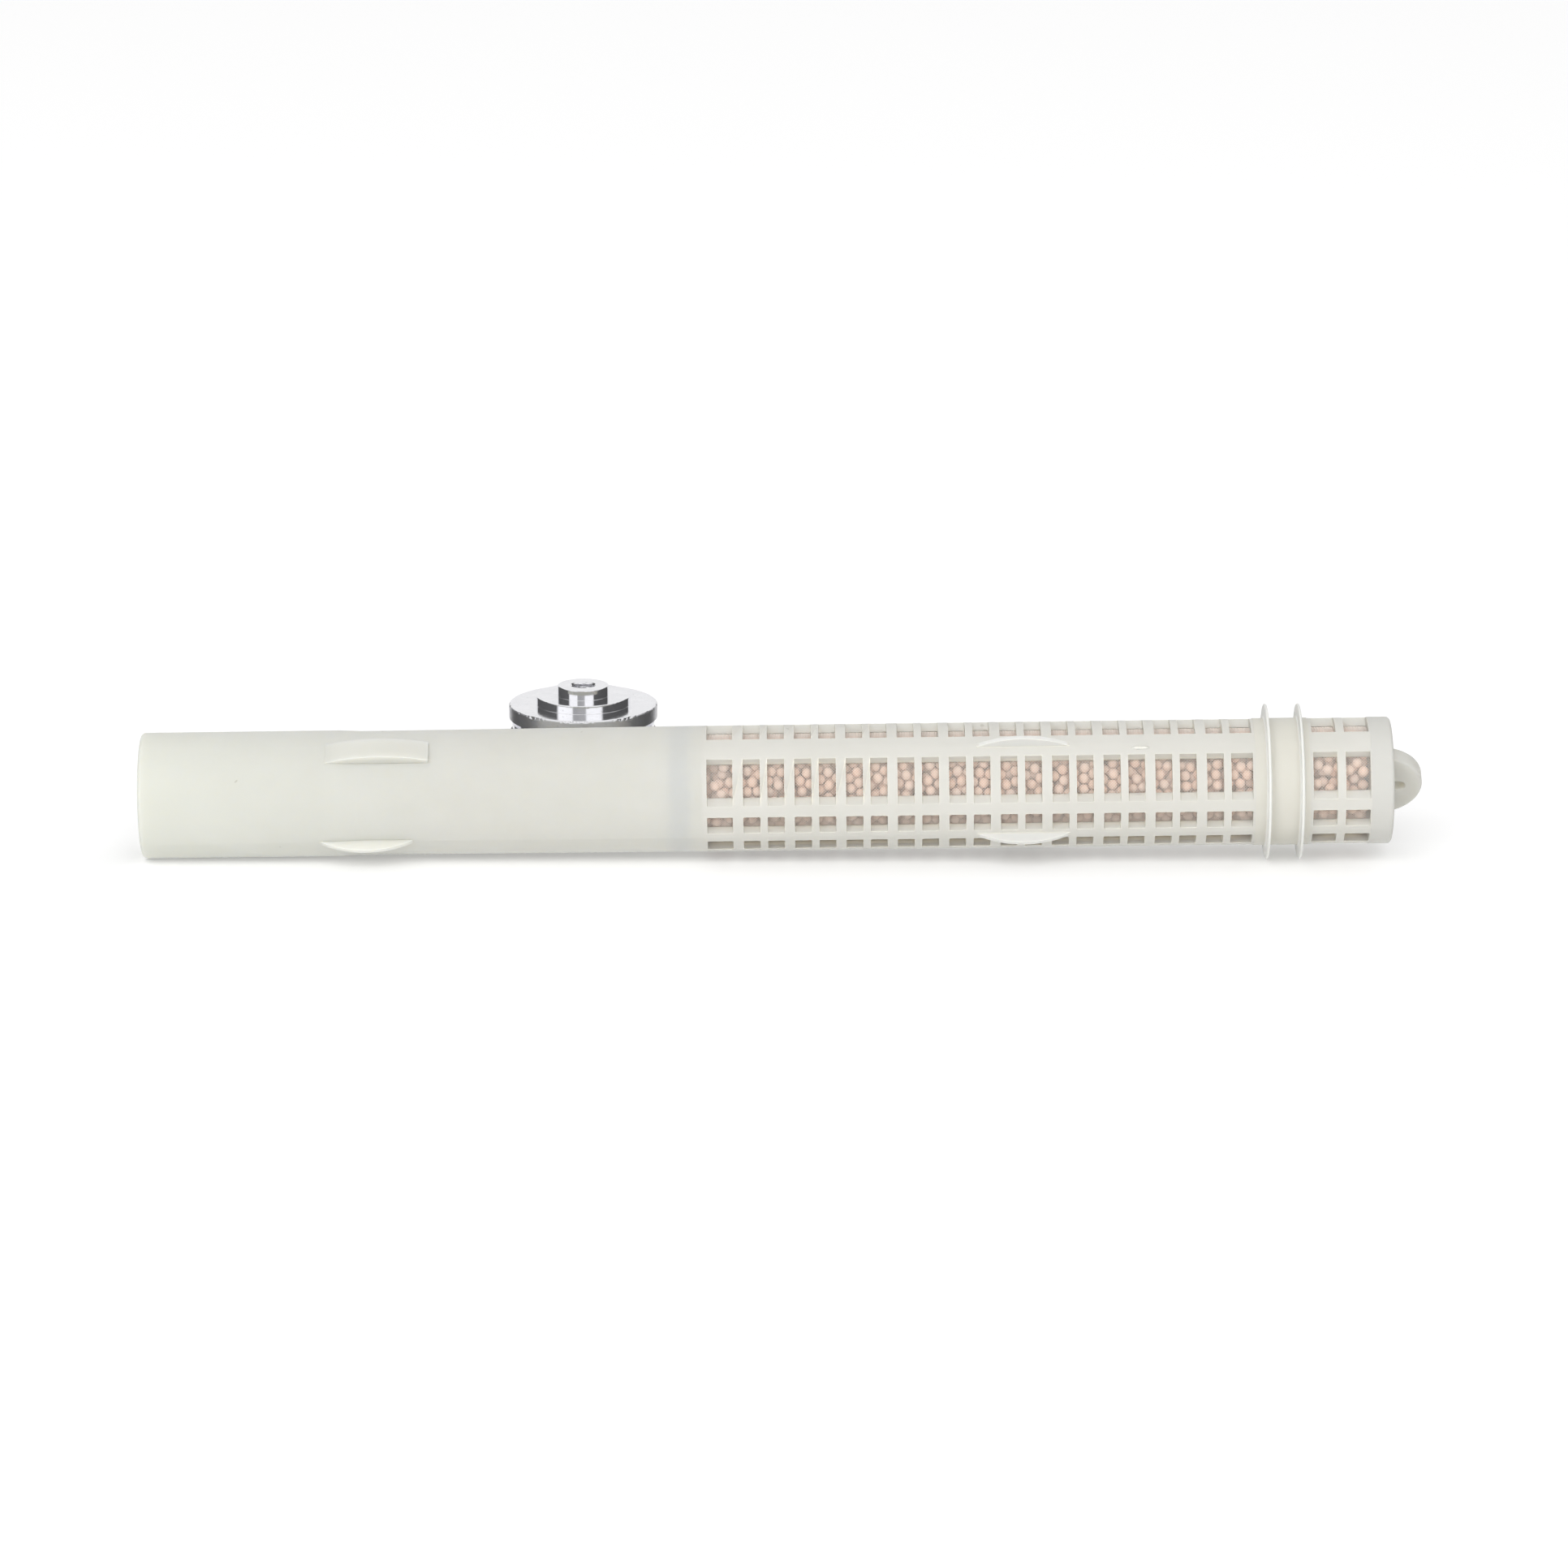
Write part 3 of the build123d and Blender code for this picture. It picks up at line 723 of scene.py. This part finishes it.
def add_camera(scene):
    """The photograph's view: level with +Y, looking down a little, aimed at the middle of the cartridge."""
    target = MOUTH + AXIS * VIEW_CENTRE_AT
    back = Vector((0, -math.cos(CAMERA_ELEVATION), math.sin(CAMERA_ELEVATION)))
    rise = Vector((0, math.sin(CAMERA_ELEVATION), math.cos(CAMERA_ELEVATION)))
    data = bpy.data.cameras.new("camera")
    data.lens = CAMERA_LENS
    data.sensor_width = 36.0
    data.clip_start = 0.01
    data.clip_end = 50.0
    camera = bpy.data.objects.new("camera", data)
    camera.location = target + rise * VIEW_CENTRE_RISE + back * CAMERA_DISTANCE
    camera.rotation_euler = (-back).to_track_quat("-Z", "Y").to_euler()
    scene.collection.objects.link(camera)
    scene.camera = camera


def add_floor(scene):
    """Pale paper that glows a little, so that it comes out white and the shadows on it stay soft."""
    mesh = bpy.data.meshes.new("floor")
    corners = [(x * FLOOR_HALF, y * FLOOR_HALF, 0) for x, y in ((-1, -1), (1, -1), (1, 1), (-1, 1))]
    mesh.from_pydata(corners, [], [(0, 1, 2, 3)])
    n = Nodes("floor_paper")
    fibre = n.noise(n.coordinates(), 900.0, 3.0)
    n.surface(
        Base_Color=n.mix(fibre, (0.88, 0.88, 0.88), (0.90, 0.90, 0.90)),
        Roughness=0.9,
        Specular_IOR_Level=0.1,
        Emission_Color=(1.0, 1.0, 1.0, 1.0),
        Emission_Strength=FLOOR_GLOW,
    )
    mesh.materials.append(n.material)
    floor = bpy.data.objects.new("floor", mesh)
    floor.visible_glossy = False
    scene.collection.objects.link(floor)


def add_tent(scene):
    """Panels that only reflections see: they give the polished plug its light and dark bands."""
    shape = bmesh.new()
    bmesh.ops.create_uvsphere(shape, u_segments=48, v_segments=24, radius=TENT_RADIUS)
    mesh = bpy.data.meshes.new("reflection_tent")
    shape.to_mesh(mesh)
    shape.free()
    n = Nodes("tent_panels")
    parts = n.add("ShaderNodeSeparateXYZ", {"Vector": n.coordinates()}).outputs
    compass = n.math("ARCTAN2", parts["X"], n.math("MULTIPLY", parts["Y"], -1.0))
    share = n.range(compass, 0.0, 1.0, -math.pi, math.pi)
    stops = [((angle + 180) / 360, (level, level, level)) for angle, level in TENT_LEVELS]
    band = n.ramp(share, *stops)
    above = n.range(parts["Z"], 0.0, 1.0, *(share * TENT_RADIUS for share in TENT_TOP))
    colour = n.mix(above, band, (TENT_TOP_LEVEL,) * 3)
    glow = n.add("ShaderNodeEmission", {"Color": colour})
    n.tree.links.new(glow.outputs["Emission"], n.tree.nodes["Material Output"].inputs["Surface"])
    mesh.materials.append(n.material)
    tent = bpy.data.objects.new("reflection_tent", mesh)
    tent.visible_camera = False
    tent.visible_diffuse = False
    tent.visible_transmission = False
    tent.visible_volume_scatter = False
    tent.visible_shadow = False
    scene.collection.objects.link(tent)


def add_lights(scene):
    """One large soft key from the front, and an even white studio all round."""
    data = bpy.data.lights.new("key", "AREA")
    data.shape = "RECTANGLE"
    data.size, data.size_y = KEY_SIZE
    data.energy = KEY_POWER
    key = bpy.data.objects.new("key", data)
    key.location = KEY_DIRECTION * KEY_DISTANCE
    key.visible_glossy = False
    key.rotation_euler = (-KEY_DIRECTION).to_track_quat("-Z", "Y").to_euler()
    scene.collection.objects.link(key)
    world = bpy.data.worlds.new("studio")
    world.use_nodes = True
    background = world.node_tree.nodes["Background"].inputs
    background["Color"].default_value = (1.0, 1.0, 1.0, 1.0)
    background["Strength"].default_value = WORLD_LEVEL
    scene.world = world


def cad_materials():
    """A material for every CAD node that stays: light and shaded colour of each moulding."""
    seal_rubber = rubber()
    cage = (0.655, 0.645, 0.60), (0.625, 0.615, 0.565)
    seal = (0.67, 0.655, 0.59), (0.64, 0.625, 0.56)
    return {
        "spacer_tube": nylon("tube_nylon", (0.655, 0.65, 0.605), (0.625, 0.62, 0.57), solid=True),
        # The last colour of the cage and of the seal is painted glow on their wings and fins: lighter, in
        # place of light scattering through them.
        "window_cage": nylon("cage_nylon", *cage, painted_glow=(0.70, 0.70, 0.675)),
        "fin_seal_ring": nylon("seal_nylon", *seal, painted_glow=(0.78, 0.78, 0.75)),
        "end_cap": nylon("cap_nylon", (0.61, 0.605, 0.57), (0.585, 0.58, 0.54)),
        "perforated_plate": nylon("plate_nylon", (0.735, 0.72, 0.675), (0.70, 0.685, 0.635)),
        "upper_o_ring": seal_rubber,
        "lower_o_ring": seal_rubber,
    }


def main():
    scene = bpy.context.scene
    scene.view_settings.view_transform = "Standard"
    add_camera(scene)
    add_floor(scene)
    add_tent(scene)
    add_lights(scene)
    make_beads()
    make_net()
    make_felt_pads()
    make_plug()
    materials = cad_materials()
    for node, material in materials.items():
        data = frame["nodes"][node].data
        data.materials.clear()
        data.materials.append(material)
    make_gate_mark(materials["window_cage"])


main()
